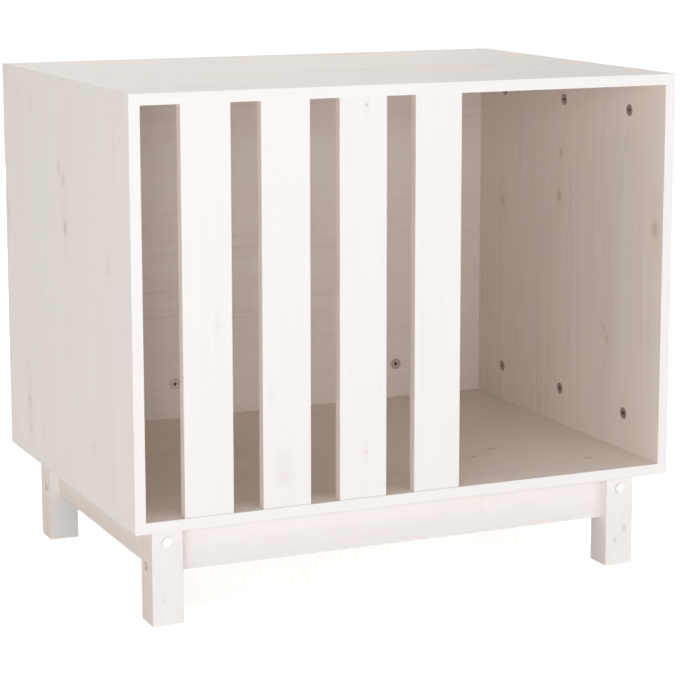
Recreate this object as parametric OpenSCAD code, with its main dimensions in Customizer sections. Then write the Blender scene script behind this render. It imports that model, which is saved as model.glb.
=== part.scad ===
// Dog house of white-washed pine: an open-fronted box with four upright slats, on a leg frame.
// Cam fittings, wood dowels and screws hold the boards. Sizes are in millimetres.
// The origin lies on the floor under the middle of the box. +Z is up and the front faces -Y.

/* [Box] */
// Width of the box across its front
box_w = 700; // [600:10:900]
// Depth of the box from front to back
box_d = 500; // [440:10:700]
// Height of the box without its legs
box_h = 500; // [400:10:700]
// Thickness of the panels and rails
board_t = 13.5; // [13:0.5:18]
// Radius of the eased edges of the boards
edge_r = 0.8; // [0.3:0.1:1.5]

/* [Front slats] */
// Width of a slat
slat_w = 60; // [40:1:70]
// Thickness of a slat
slat_t = 13; // [12:0.5:18]
// Gap between two slats
slat_gap = 36.5; // [20:0.5:45]
// Gap between the left side panel and the first slat
side_gap = 47; // [30:0.5:60]
// Distance of the slats behind the front edges of the box
slat_inset = 1; // [0:0.5:5]
// Distance of the dowels from the long edges of a slat
slat_dowel_edge = 15; // [8:1:16]

/* [Legs and rails] */
// Height of the legs
leg_h = 120; // [90:5:200]
// Width of a square leg
leg_w = 38; // [36:1:60]
// Distance of the legs from the outside of the box
leg_inset = 30; // [0:5:60]
// Height of the rails
rail_h = 60; // [56:1:80]
// Distance of the front and back rails behind the outer faces of the legs
front_rail_setback = 15.5; // [10:0.5:17]
// Distance of the side rails behind the outer faces of the legs
side_rail_setback = 12; // [8:0.5:17]

/* [Cam fittings] */
// Diameter of a cam disc
cam_d = 15; // [15:0.5:20]
// How far a turn of the cam disc draws its bolt in
cam_throw = 1; // [0.6:0.1:1.2]
// Height of the lower cam discs above the cabin floor
cam_rise = 47.5; // [34:0.5:60]
// Distance of the upper cam discs below the top panel
cam_drop = 38; // [34:0.5:60]
// Distance between the cam discs of a side panel
cam_pitch = 165; // [140:5:190]
// Distance of the inner cam discs of the back panel from its middle
back_cam_inner = 125; // [90:5:150]
// Distance of the outer cam discs of the back panel from its middle
back_cam_outer = 205; // [180:5:230]
// Diameter of the head of a connecting bolt
bolt_head_d = 6.5; // [5.5:0.1:6.5]
// Diameter of the neck of a connecting bolt
bolt_neck_d = 4; // [3:0.1:4.5]
// Diameter of the shank of a connecting bolt
bolt_shank_d = 7; // [6.5:0.1:7.5]
// Diameter of the thread of a connecting bolt
bolt_thread_d = 6; // [5:0.1:6]

/* [Dowels] */
// Diameter of a wood dowel
dowel_d = 6; // [5:0.5:8]
// Length of a wood dowel between boards
dowel_l = 30; // [25:1:40]
// Length of the wood dowel on top of a leg
leg_dowel_l = 24; // [20:1:24]
// Distance of the last dowel of a row from the edge of its board
dowel_edge = 35; // [25:1:40]
// Height step between the dowels that join the back and side panels
back_dowel_pitch = 150; // [100:5:160]

/* [Screws and caps] */
// Diameter of a leg screw
leg_screw_d = 5; // [4:0.5:6]
// Length of a leg screw under its head
leg_screw_l = 60; // [50:1:75]
// Diameter of the head of a leg screw
leg_head_d = 10; // [9:0.5:11]
// Height of the head of a leg screw
leg_head_h = 3.5; // [3:0.5:5]
// Diameter of the counterbore for a leg screw
leg_bore_d = 12; // [11.5:0.5:13]
// Depth of the counterbore for a leg screw
leg_bore_depth = 10; // [9.5:0.5:12]
// Distance of the front and back screws below the box
front_screw_drop = 21; // [19:1:24]
// Height of the side screws above the lower edge of the rails
side_screw_rise = 8; // [7:1:10]
// Diameter of a screw cap
cap_d = 13.2; // [13.1:0.1:15]
// Height of the dome of a screw cap
cap_dome_h = 1.3; // [1:0.1:3]
// Height of the straight rim under the dome of a screw cap
cap_rim_h = 1.8; // [0.5:0.1:3]
// Length of the plug of a screw cap
cap_plug_l = 4; // [3:0.5:5]
// Diameter of a base screw
base_screw_d = 4; // [3:0.5:5]
// Length of a base screw under its head
base_screw_l = 35; // [30:1:45]
// Diameter of the head of a base screw
base_head_d = 7.5; // [6.5:0.5:8]
// Height of the head of a base screw
base_head_h = 2.5; // [2:0.5:4]
// Distance of the last base screw from the end of its rail
base_screw_edge = 60; // [60:5:100]

/* [Fits] */
// Gap around a dowel, bolt, cam disc or screw in its bore
fit = 0.05; // [0.03:0.01:0.1]
// Gap at the end of a blind bore
end_gap = 0.5; // [0.2:0.1:1]
// Wood left behind a blind bore in the face of a board
skin = 4; // [3:0.5:5]

/* [Hidden] */
$fn = 48;

// Colours
pine = "#F1ECE8";
pine_shade = "#E4DDD7";
beech = "#D8B98C";
zinc = "#9A9690";
cap_white = "#FBFAF8";

// Heights of the box
box_z = leg_h;
floor_z = box_z + board_t;
ceiling_z = box_z + box_h - board_t;
cabin_h = ceiling_z - floor_z;

// Inside of the box
cabin_x = box_w/2 - board_t;
cabin_back_y = box_d/2 - board_t;
side_mid_x = box_w/2 - board_t/2;
back_mid_y = box_d/2 - board_t/2;

// Slats, counted from the left
slat_mid_y = -box_d/2 + slat_inset + slat_t/2;
function slat_x(i) = -cabin_x + side_gap + (i - 1)*(slat_w + slat_gap);

// Blind bores
bite = board_t - skin;
over = 1;

// Cam disc: its eccentric pocket leaves a thin wall at the entry and a thick one at the grip
cam_wall = 1.3;
cam_floor = 0.6;
pocket_h = bolt_head_d + 2*fit;
pocket_r = cam_d/2 - cam_wall - cam_throw;
groove_r = pocket_r - pocket_h/2;
cam_h = board_t/2 + pocket_h/2 + cam_floor;
head_y = groove_r - cam_throw;
recess_l = 6.4;
recess_w = 1.3;
recess_depth = 2.4;
recess_core_d = 2.8;
cam_edge = 0.4;

// Chamfer at the tip of a connecting bolt
bolt_tip = 1;

// Rows of dowels and cam discs
cam_ys = [-cam_pitch, 0, cam_pitch];
side_dowel_ys = [dowel_edge - box_d/2, -cam_pitch/2, cam_pitch/2, box_d/2 - dowel_edge];
back_cam_xs = [-back_cam_outer, -back_cam_inner, back_cam_inner, back_cam_outer];
back_mid_x = (back_cam_inner + back_cam_outer)/2;
back_dowel_xs = [dowel_edge - cabin_x, -back_mid_x, 0, back_mid_x, cabin_x - dowel_edge];
back_dowel_zs = [for (i = [-1, 0, 1]) (floor_z + ceiling_z)/2 + i*back_dowel_pitch];

// Leg joints, in the frame of one leg: the stagger keeps crossing screws and dowels apart
front_axis = front_rail_setback + board_t/2;
side_axis = side_rail_setback + board_t/2;
x_stagger = 10;
y_stagger = 11;
side_screw_z = side_screw_rise - rail_h;
x_dowel_z = -front_screw_drop - x_stagger;
y_dowel_z = side_screw_z + y_stagger;

// Rails
front_rail_l = box_w - 2*(leg_inset + leg_w);
side_rail_l = box_d - 2*(leg_inset + leg_w);
front_rail_y = box_d/2 - leg_inset - front_axis;
side_rail_x = box_w/2 - leg_inset - side_axis;
front_screw_xs = [base_screw_edge - front_rail_l/2, 0, front_rail_l/2 - base_screw_edge];
side_screw_ys = [base_screw_edge - side_rail_l/2, side_rail_l/2 - base_screw_edge];
base_bore_depth = rail_h + bite - end_gap - base_screw_l;
base_bore_d = base_head_d + 1;

// Shapes of the boards

// A rectangle with some corners rounded: 1 rounds and 0 leaves a corner sharp.
// The corners run from the lower left one anticlockwise.
module eased_rect(w, h, corners) {
    places = [[0, 0, 0], [w, 0, 90], [w, h, 180], [0, h, 270]];
    difference() {
        square([w, h]);
        for (i = [0:3]) {
            if (corners[i] == 1) {
                translate([places[i][0], places[i][1]]) rotate(places[i][2]) spandrel();
            }
        }
    }
}

// What a rounded corner leaves out of a square one
module spandrel() {
    difference() {
        translate([-over, -over]) square(edge_r + over);
        translate([edge_r, edge_r]) circle(edge_r);
        translate([edge_r, -over]) square(edge_r + over);
        translate([-over, edge_r]) square(edge_r + over);
    }
}

// A board from its lower corner, with the edges along X, Y and Z eased where the lists say 1
module board(size, along_x, along_y, along_z) {
    intersection() {
        rotate([90, 0, 90]) linear_extrude(size[0]) eased_rect(size[1], size[2], along_x);
        translate([0, size[1], 0]) rotate([90, 0, 0])
            linear_extrude(size[1]) eased_rect(size[0], size[2], along_y);
        linear_extrude(size[2]) eased_rect(size[0], size[1], along_z);
    }
}

// Cam fittings, in the frame of one cam disc: its face is at z = 0 and looks along +Z,
// and the bolt runs along +Y, half a board below the face.

module cam_disc() {
    mid = -board_t/2;
    difference() {
        cam_blank();
        translate([0, -cam_throw, mid]) head_pocket();
        // Entry, which faced the bolt before the disc was turned
        translate([0, 0, mid]) rotate([90, 0, 0]) cylinder(h = cam_d, d = pocket_h);
        // Slot that the neck of the bolt slides through while the disc turns
        translate([0, 0, mid - bolt_neck_d/2 - fit]) neck_sweep(bolt_neck_d + 2*fit);
        // Cross recess for the screwdriver
        for (turn = [0, 90]) {
            rotate(turn) translate([-recess_l/2, -recess_w/2, -recess_depth])
                cube([recess_l, recess_w, recess_depth + over]);
        }
        translate([0, 0, -recess_depth]) cylinder(h = recess_depth + over, d = recess_core_d);
    }
}

// Round disc with a chamfer at the rim of its face
module cam_blank() {
    translate([0, 0, -cam_h]) cylinder(h = cam_h - cam_edge, d = cam_d);
    translate([0, 0, -cam_edge]) cylinder(h = cam_edge, d1 = cam_d, d2 = cam_d - 2*cam_edge);
}

// Round pocket whose outer wall is a groove that the ball head of the bolt bears in
module head_pocket() {
    rotate_extrude() {
        intersection() {
            translate([groove_r, 0]) circle(pocket_h/2);
            translate([0, -pocket_h/2]) square([pocket_r, pocket_h]);
        }
        translate([0, -pocket_h/2]) square([groove_r, pocket_h]);
    }
}

// Half a turn of the bolt's neck about the disc's axis, from the grip back to the entry
module neck_sweep(h) {
    neck_r = bolt_neck_d/2 + fit;
    translate([0, -cam_d, 0]) cube([cam_d, 2*cam_d, h]);
    translate([-neck_r, 0, 0]) cube([neck_r + over, cam_d, h]);
    translate([-neck_r, -cam_d, 0]) cube([neck_r + over, cam_d, h]);
}

// Connecting bolt: a ball head in the disc, a neck through its slot, a shank in the edge of the
// board, and a thread in the next panel, with a shoulder on its face at the given reach
module cam_bolt(reach) {
    head_r = bolt_head_d/2;
    neck_r = bolt_neck_d/2;
    shank_r = bolt_shank_d/2;
    thread_r = bolt_thread_d/2;
    shank_start = cam_d/2 + end_gap;
    tip = reach + bite - end_gap;
    profile = [
        [0, head_y], [neck_r, head_y], [neck_r, shank_start], [shank_r, shank_start],
        [shank_r, reach], [thread_r, reach], [thread_r, tip - bolt_tip],
        [thread_r - bolt_tip, tip], [0, tip]
    ];
    translate([0, 0, -board_t/2]) rotate([-90, 0, 0]) rotate_extrude() {
        polygon(profile);
        intersection() {
            translate([0, head_y]) circle(head_r);
            translate([0, head_y - head_r]) square(2*head_r);
        }
    }
}

// Bores for the disc and the bolt in the board that carries them, and for the thread beyond it
module cam_bores(reach) {
    translate([0, 0, -cam_h - fit]) cylinder(h = cam_h + fit + over, d = cam_d + 2*fit);
    translate([0, 0, -board_t/2]) rotate([-90, 0, 0]) {
        cylinder(h = reach, d = bolt_shank_d + 2*fit);
        cylinder(h = reach + bite, d = bolt_thread_d + 2*fit);
    }
}

// Puts its children at a cam disc that faces the cabin. up is 1 for the upper discs.
module at_cam(x, y, turn, up) {
    z = up == 1 ? ceiling_z - cam_drop : floor_z + cam_rise;
    translate([x, y, z]) rotate(turn) rotate([90, 0, 0]) rotate(up == 1 ? 0 : 180) children();
}

module at_side_cams(side, up) {
    for (y = cam_ys) at_cam(side*cabin_x, y, -90*side, up) children();
}

module at_back_cams(up) {
    for (x = back_cam_xs) at_cam(x, cabin_back_y, 0, up) children();
}

module side_cams(side) {
    for (up = [0, 1]) at_side_cams(side, up) cam_disc();
}

module side_cam_bores(side) {
    at_side_cams(side, 0) cam_bores(cam_rise);
    at_side_cams(side, 1) cam_bores(cam_drop);
}

module side_bolts(side) {
    at_side_cams(side, 0) cam_bolt(cam_rise);
    at_side_cams(side, 1) cam_bolt(cam_drop);
}

module back_cam_bores() {
    at_back_cams(0) cam_bores(cam_rise);
    at_back_cams(1) cam_bores(cam_drop);
}

// Dowels, in the frame of a joint: z = 0 is where the two boards meet

// Dowel from z = low up, with its ends chamfered
module dowel(low, l) {
    r = dowel_d/2;
    chamfer = r/4;
    profile = [
        [0, 0], [r - chamfer, 0], [r, chamfer], [r, l - chamfer], [r - chamfer, l], [0, l]
    ];
    translate([0, 0, low]) rotate_extrude() polygon(profile);
}

// Between the edge of one board, below, and the face of another, above
module edge_dowel(l) {
    dowel(bite - end_gap - l, l);
}

module edge_dowel_bore(l) {
    translate([0, 0, bite - 2*end_gap - l]) cylinder(h = l + 2*end_gap, d = dowel_d + 2*fit);
}

// Puts its children at the lower and the upper end of an upright board, pointing out of it
module at_ends() {
    translate([0, 0, floor_z]) rotate([180, 0, 0]) children();
    translate([0, 0, ceiling_z]) children();
}

module at_side_dowels(side) {
    for (y = side_dowel_ys) translate([side*side_mid_x, y, 0]) at_ends() children();
}

module at_back_dowels() {
    for (x = back_dowel_xs) translate([x, back_mid_y, 0]) at_ends() children();
}

module at_back_side_dowels(side) {
    for (z = back_dowel_zs) {
        translate([side*cabin_x, back_mid_y, z]) rotate([0, 90*side, 0]) children();
    }
}

module at_slat_dowels(i) {
    for (x = [slat_dowel_edge, slat_w - slat_dowel_edge]) {
        translate([slat_x(i) + x, slat_mid_y, 0]) at_ends() children();
    }
}

// Leg joints, in the frame of one leg: the origin is the outer corner under the box,
// and X and Y run inwards from the outer faces.

module at_leg(sx, sy) {
    translate([sx*(box_w/2 - leg_inset), sy*(box_d/2 - leg_inset), box_z])
        mirror([sx > 0 ? 1 : 0, 0, 0]) mirror([0, sy > 0 ? 1 : 0, 0]) children();
}

module at_legs() {
    for (sx = [-1, 1]) {
        for (sy = [-1, 1]) at_leg(sx, sy) children();
    }
}

// Each place below has its z axis along the fastener, into the leg
module at_y_screw() {
    translate([side_axis, 0, -front_screw_drop]) rotate([-90, 0, 0]) children();
}

module at_x_screw() {
    translate([0, front_axis, side_screw_z]) rotate([0, 90, 0]) children();
}

module at_x_dowel() {
    translate([leg_w, front_axis, x_dowel_z]) rotate([0, 90, 0]) children();
}

module at_y_dowel() {
    translate([side_axis, leg_w, y_dowel_z]) rotate([-90, 0, 0]) children();
}

module at_leg_dowel() {
    translate([leg_w/2, leg_w/2, 0]) children();
}

// Screw with a hexagon socket, whose head rests on the bottom of its counterbore
module leg_screw() {
    socket_d = 4.6;
    socket_depth = 0.7*leg_head_h;
    tip = 3;
    difference() {
        translate([0, 0, leg_bore_depth - leg_head_h]) cylinder(h = leg_head_h, d = leg_head_d);
        translate([0, 0, leg_bore_depth - leg_head_h - over])
            cylinder(h = socket_depth + over, d = socket_d, $fn = 6);
    }
    shaft(leg_bore_depth, leg_screw_d, leg_screw_l, tip);
}

// Threaded length of a screw with its tip
module shaft(low, d, l, tip) {
    tip_r = d/8;
    profile = [[0, 0], [d/2, 0], [d/2, l - tip], [tip_r, l], [0, l]];
    translate([0, 0, low]) rotate_extrude() polygon(profile);
}

module leg_screw_bore() {
    translate([0, 0, -over]) cylinder(h = leg_bore_depth + over, d = leg_bore_d);
    cylinder(h = leg_bore_depth + leg_screw_l + end_gap, d = leg_screw_d + 2*fit);
}

module rail_dowel_bore() {
    l = dowel_l + 2*end_gap;
    translate([0, 0, -l/2]) cylinder(h = l, d = dowel_d + 2*fit);
}

// Domed cap with a straight rim, a hollow plug in the counterbore, and a shallow dimple where it was moulded
module screw_cap() {
    ball_r = (cap_d*cap_d/4 + cap_dome_h*cap_dome_h)/(2*cap_dome_h);
    top = cap_rim_h + cap_dome_h;
    plug_r = leg_bore_d/2 - fit;
    plug_wall = 1;
    plug_floor = 0.5;
    dimple_d = 2.4;
    dimple_depth = 0.3;
    difference() {
        rotate_extrude() intersection() {
            translate([0, ball_r - top]) circle(ball_r, $fn = 180);
            translate([0, -top]) square([cap_d/2, cap_dome_h]);
        }
        translate([0, 0, -top - over]) cylinder(h = over + dimple_depth, d = dimple_d);
    }
    translate([0, 0, -cap_rim_h]) cylinder(h = cap_rim_h, d = cap_d);
    difference() {
        cylinder(h = cap_plug_l, r = plug_r);
        translate([0, 0, plug_floor]) cylinder(h = cap_plug_l, r = plug_r - plug_wall);
    }
}

module leg(sx, sy) {
    color(pine) at_leg(sx, sy) difference() {
        translate([0, 0, -leg_h])
            board([leg_w, leg_w, leg_h], [1, 1, 0, 0], [1, 1, 0, 0], [1, 1, 1, 1]);
        at_y_screw() leg_screw_bore();
        at_x_screw() leg_screw_bore();
        at_x_dowel() rail_dowel_bore();
        at_y_dowel() rail_dowel_bore();
        at_leg_dowel() edge_dowel_bore(leg_dowel_l);
    }
}

module cap(sx, sy) {
    color(cap_white) at_leg(sx, sy) at_y_screw() screw_cap();
}

// Base screws, in the frame of one screw: z = 0 is the lower edge of the rail

module base_screw() {
    tip = 4;
    socket_w = 1;
    socket_l = 4.4;
    socket_depth = 0.6*base_head_h;
    difference() {
        translate([0, 0, base_bore_depth - base_head_h]) cylinder(h = base_head_h, d = base_head_d);
        for (turn = [0, 90]) {
            rotate(turn) translate([-socket_l/2, -socket_w/2, base_bore_depth - base_head_h - over])
                cube([socket_l, socket_w, socket_depth + over]);
        }
    }
    shaft(base_bore_depth, base_screw_d, base_screw_l, tip);
}

module base_screw_bore() {
    translate([0, 0, -over]) cylinder(h = base_bore_depth + over, d = base_bore_d);
    cylinder(h = base_bore_depth + base_screw_l + end_gap, d = base_screw_d + 2*fit);
}

module at_front_screws(sy) {
    for (x = front_screw_xs) translate([x, sy*front_rail_y, box_z - rail_h]) children();
}

module at_side_screws(sx) {
    for (y = side_screw_ys) translate([sx*side_rail_x, y, box_z - rail_h]) children();
}

// Panels

module top_panel() {
    color(pine_shade) difference() {
        translate([-box_w/2, -box_d/2, ceiling_z])
            board([box_w, box_d, board_t], [0, 0, 1, 1], [0, 0, 1, 1], [1, 1, 1, 1]);
        panel_bores();
    }
}

module bottom_panel() {
    color(pine_shade) difference() {
        translate([-box_w/2, -box_d/2, box_z])
            board([box_w, box_d, board_t], [1, 1, 0, 0], [1, 1, 0, 0], [1, 1, 1, 1]);
        panel_bores();
        at_legs() at_leg_dowel() edge_dowel_bore(leg_dowel_l);
        for (s = [-1, 1]) {
            at_front_screws(s) base_screw_bore();
            at_side_screws(s) base_screw_bore();
        }
    }
}

// Bores that the top and bottom panels have for what stands between them
module panel_bores() {
    for (side = [-1, 1]) {
        side_cam_bores(side);
        at_side_dowels(side) edge_dowel_bore(dowel_l);
    }
    back_cam_bores();
    at_back_dowels() edge_dowel_bore(dowel_l);
    for (i = [1:4]) at_slat_dowels(i) edge_dowel_bore(dowel_l);
}

module side_panel(side) {
    // The edge towards the back panel stays sharp
    eased = side < 0 ? [1, 1, 0, 1] : [1, 1, 1, 0];
    color(pine) difference() {
        translate([side*side_mid_x - board_t/2, -box_d/2, floor_z])
            board([board_t, box_d, cabin_h], [0, 0, 0, 0], [0, 0, 0, 0], eased);
        side_cam_bores(side);
        at_side_dowels(side) edge_dowel_bore(dowel_l);
        at_back_side_dowels(side) edge_dowel_bore(dowel_l);
    }
}

module back_panel() {
    color(pine_shade) difference() {
        translate([-cabin_x, cabin_back_y, floor_z]) cube([2*cabin_x, board_t, cabin_h]);
        back_cam_bores();
        at_back_dowels() edge_dowel_bore(dowel_l);
        for (side = [-1, 1]) at_back_side_dowels(side) edge_dowel_bore(dowel_l);
    }
}

module slat(i) {
    color(pine) difference() {
        translate([slat_x(i), slat_mid_y - slat_t/2, floor_z])
            board([slat_w, slat_t, cabin_h], [0, 0, 0, 0], [0, 0, 0, 0], [1, 1, 1, 1]);
        at_slat_dowels(i) edge_dowel_bore(dowel_l);
    }
}

// Rails

module front_back_rail(sy) {
    color(pine) difference() {
        translate([-front_rail_l/2, sy*front_rail_y - board_t/2, box_z - rail_h])
            board([front_rail_l, board_t, rail_h], [1, 1, 0, 0], [0, 0, 0, 0], [0, 0, 0, 0]);
        for (sx = [-1, 1]) {
            at_leg(sx, sy) {
                at_x_screw() leg_screw_bore();
                at_x_dowel() rail_dowel_bore();
            }
        }
        at_front_screws(sy) base_screw_bore();
    }
}

module side_rail(sx) {
    color(pine) difference() {
        translate([sx*side_rail_x - board_t/2, -side_rail_l/2, box_z - rail_h])
            board([board_t, side_rail_l, rail_h], [0, 0, 0, 0], [1, 1, 0, 0], [0, 0, 0, 0]);
        for (sy = [-1, 1]) {
            at_leg(sx, sy) {
                at_y_screw() leg_screw_bore();
                at_y_dowel() rail_dowel_bore();
            }
        }
        at_side_screws(sx) base_screw_bore();
    }
}

// Groups of fasteners

module back_panel_cams() {
    color(zinc) for (up = [0, 1]) at_back_cams(up) cam_disc();
}

module back_panel_bolts() {
    color(zinc) {
        at_back_cams(0) cam_bolt(cam_rise);
        at_back_cams(1) cam_bolt(cam_drop);
    }
}

module back_side_dowels() {
    color(beech) for (side = [-1, 1]) at_back_side_dowels(side) edge_dowel(dowel_l);
}

module slat_dowels() {
    color(beech) for (i = [1:4]) at_slat_dowels(i) edge_dowel(dowel_l);
}

module rail_dowels() {
    color(beech) at_legs() {
        at_x_dowel() dowel(-dowel_l/2, dowel_l);
        at_y_dowel() dowel(-dowel_l/2, dowel_l);
    }
}

module base_screws() {
    color(zinc) for (s = [-1, 1]) {
        at_front_screws(s) base_screw();
        at_side_screws(s) base_screw();
    }
}

top_panel();
bottom_panel();
side_panel(-1);  // left_side_panel
side_panel(1);  // right_side_panel
back_panel();
slat(1);  // slat_1
slat(2);  // slat_2
slat(3);  // slat_3
slat(4);  // slat_4
leg(-1, -1);  // front_left_leg
leg(1, -1);  // front_right_leg
leg(-1, 1);  // back_left_leg
leg(1, 1);  // back_right_leg
front_back_rail(-1);  // front_rail
front_back_rail(1);  // back_rail
side_rail(-1);  // left_rail
side_rail(1);  // right_rail
color(zinc) side_cams(-1);  // left_panel_cams
color(zinc) side_cams(1);  // right_panel_cams
back_panel_cams();
color(zinc) side_bolts(-1);  // left_panel_bolts
color(zinc) side_bolts(1);  // right_panel_bolts
back_panel_bolts();
color(beech) at_side_dowels(-1) edge_dowel(dowel_l);  // left_panel_dowels
color(beech) at_side_dowels(1) edge_dowel(dowel_l);  // right_panel_dowels
color(beech) at_back_dowels() edge_dowel(dowel_l);  // back_panel_dowels
back_side_dowels();
slat_dowels();
rail_dowels();
color(beech) at_legs() at_leg_dowel() edge_dowel(leg_dowel_l);  // leg_dowels
color(zinc) at_legs() at_y_screw() leg_screw();  // leg_screws_front_back
color(zinc) at_legs() at_x_screw() leg_screw();  // leg_screws_sides
base_screws();
cap(-1, -1);  // front_left_cap
cap(1, -1);  // front_right_cap
cap(-1, 1);  // back_left_cap
cap(1, 1);  // back_right_cap
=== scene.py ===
"""Dog house of white-washed pine, dressed for a studio picture.

Each operator dresses or makes one group of parts. The boards get their grain, knots and wash, and the
fittings that the boards hide get their threads and flutes. The stage operator sets the camera and lamps.
"""

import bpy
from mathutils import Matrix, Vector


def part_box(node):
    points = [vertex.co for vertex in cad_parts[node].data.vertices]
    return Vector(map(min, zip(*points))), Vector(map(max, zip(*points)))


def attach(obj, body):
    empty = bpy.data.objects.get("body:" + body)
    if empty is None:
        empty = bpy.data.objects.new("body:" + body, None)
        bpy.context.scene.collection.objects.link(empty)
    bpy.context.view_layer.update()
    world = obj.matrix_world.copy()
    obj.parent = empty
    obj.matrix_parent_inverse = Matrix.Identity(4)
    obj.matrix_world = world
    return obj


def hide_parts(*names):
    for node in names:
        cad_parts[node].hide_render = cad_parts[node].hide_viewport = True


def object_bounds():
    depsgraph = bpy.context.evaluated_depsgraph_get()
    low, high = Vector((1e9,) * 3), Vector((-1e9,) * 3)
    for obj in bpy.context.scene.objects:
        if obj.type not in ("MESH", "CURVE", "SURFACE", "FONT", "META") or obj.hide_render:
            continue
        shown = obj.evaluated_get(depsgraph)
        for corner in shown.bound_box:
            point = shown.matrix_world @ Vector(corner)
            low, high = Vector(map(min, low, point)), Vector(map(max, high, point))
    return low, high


bl_info = {
    "name": "Pine dog house",
    "version": (1, 0, 0),
    "blender": (4, 5, 0),
    "location": "3D View > Sidebar > Dog house",
    "description": "White-washed pine boards, cam fittings, dowels and screws of a dog house",
    "category": "Object",
}

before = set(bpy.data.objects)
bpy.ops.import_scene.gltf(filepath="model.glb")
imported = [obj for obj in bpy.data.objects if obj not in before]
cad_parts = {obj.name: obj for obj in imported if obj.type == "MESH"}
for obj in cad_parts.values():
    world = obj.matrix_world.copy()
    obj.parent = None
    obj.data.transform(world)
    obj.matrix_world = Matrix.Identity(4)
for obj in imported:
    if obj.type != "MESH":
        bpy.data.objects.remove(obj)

import math
from collections import namedtuple
from functools import partial

import bmesh
import bpy
from bpy.props import FloatProperty, FloatVectorProperty, IntProperty, PointerProperty
from mathutils import Euler, Vector

MM = 0.001
CAD_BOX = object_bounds()


def linear(hex_colour):
    """The linear colour, with an alpha of 1, of an sRGB hex value."""
    values = [int(hex_colour[i:i + 2], 16) / 255 for i in (1, 3, 5)]
    return tuple(v / 12.92 if v <= 0.04045 else ((v + 0.055) / 1.055) ** 2.4 for v in values) + (1.0,)


def colour(hex_colour, name, description):
    """A colour property with the given sRGB default."""
    return FloatVectorProperty(
        name=name, description=description, default=linear(hex_colour),
        size=4, min=0, max=1, subtype="COLOR",
    )


def length(value_mm, name, description):
    """A length property whose default is given in millimetres."""
    return FloatProperty(
        name=name, description=description, default=value_mm * MM,
        min=0, subtype="DISTANCE", unit="LENGTH",
    )


def share(value, name, description):
    """A share from 0 to 1."""
    return FloatProperty(name=name, description=description, default=value, min=0, max=1, subtype="FACTOR")


def number(value, name, description):
    """A plain number that isn't negative."""
    return FloatProperty(name=name, description=description, default=value, min=0)


# Settings

class PineSettings(bpy.types.PropertyGroup):
    """Colours and grain of the white-washed pine boards."""

    wash: colour("#F9F6F4", "Wash", "White pigment of the wash")
    early_wood: colour("#E4C5A8", "Early wood", "Pale wood between the growth rings")
    late_wood: colour("#C89E82", "Late wood", "Dense dark part of a growth ring")
    knot: colour("#75584A", "Knot", "Heart of a knot")
    # Painted shade at the foot of each slat, standing in for the shadow in its joint with the bottom panel
    foot_shade: colour("#8A8480", "Painted foot shade", "Dust in the joint at the foot of a slat")
    cover: share(0.90, "Cover", "Share of the wood that the wash hides")
    ring: length(4.6, "Ring width", "Mean width of a growth ring")
    ring_shows: share(0.020, "Rings", "How much less wash stays on the late wood of a ring")
    cloud_shows: share(0.12, "Clouds", "How unevenly the wash was wiped")
    fibre_shows: share(0.05, "Fibre", "How much less wash stays between the fibres")
    knot_shows: share(0.30, "Knots", "How much less wash stays on a knot")


class FittingSettings(bpy.types.PropertyGroup):
    """Colours and small forms of the metal, beech and plastic fittings."""

    zinc: colour("#C2B4AA", "Zinc", "Cam discs of die-cast zinc")
    steel: colour("#B4B1AB", "Steel", "Bolts and screws of zinc-plated steel")
    beech: colour("#D3AE84", "Beech", "Fluted wood dowels")
    plastic: colour("#FDFDFC", "Plastic", "Caps over the leg screws")
    flutes: IntProperty(name="Flutes", description="Glue grooves round a dowel", default=18, min=6, max=40)
    flute_depth: length(0.25, "Flute depth", "Depth of a glue groove")
    dowel_chamfer: length(0.75, "Dowel chamfer", "Chamfer at both ends of a dowel")
    seed: IntProperty(name="Seed", description="Decides how far each screw was turned", default=7, min=0)


class StageSettings(bpy.types.PropertyGroup):
    """Camera, floor and lamps of the studio."""

    lens: number(122.6, "Lens", "Focal length in millimetres")
    camera_place: FloatVectorProperty(
        name="Camera", description="Place of the camera", default=(-1.165, -2.657, 0.839),
        size=3, subtype="TRANSLATION", unit="LENGTH",
    )
    heading: FloatProperty(
        name="Heading", description="Turn of the view from the depth of the house towards its right",
        default=math.radians(24.25), subtype="ANGLE",
    )
    tilt: FloatProperty(
        name="Tilt", description="Angle of the view below the horizon",
        default=math.radians(9.85), subtype="ANGLE",
    )
    shift_x: FloatProperty(name="Shift X", description="Sideways shift of the lens", default=-0.0186)
    shift_y: FloatProperty(name="Shift Y", description="Vertical shift of the lens", default=-0.07)
    walls: number(0.10, "Walls", "Light from the pale walls of the studio")
    ceiling: number(0.95, "Ceiling", "Light from the bright ceiling")
    lamps: number(1.0, "Lamps", "Strength of all softboxes together")
    floor: colour("#F2F1EF", "Floor", "Pale studio floor")


# Nodes

def feed(tree, sockets, values):
    """Gives each socket its value, or links the output that feeds it."""
    for key, value in values.items():
        if isinstance(value, bpy.types.NodeSocket):
            tree.links.new(value, sockets[key])
        else:
            sockets[key].default_value = value


def add(tree, kind, inputs=None, output=None, **settings):
    """Adds a node with its properties and inputs. Gives its named output, or the first that it has."""
    made = tree.nodes.new(kind)
    for name, value in settings.items():
        setattr(made, name, value)
    feed(tree, made.inputs, inputs or {})
    return made.outputs[output] if output else next((each for each in made.outputs if each.enabled), None)


def new_group(name, kind, inputs, outputs):
    """A node group with the given sockets, and its input and output nodes."""
    tree = bpy.data.node_groups.new(name, kind)
    for direction, sockets in (("INPUT", inputs), ("OUTPUT", outputs)):
        for socket_name, socket_type in sockets:
            tree.interface.new_socket(name=socket_name, in_out=direction, socket_type=socket_type)
    start = tree.nodes.new("NodeGroupInput")
    end = tree.nodes.new("NodeGroupOutput")
    return tree, start.outputs, end.inputs


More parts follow.
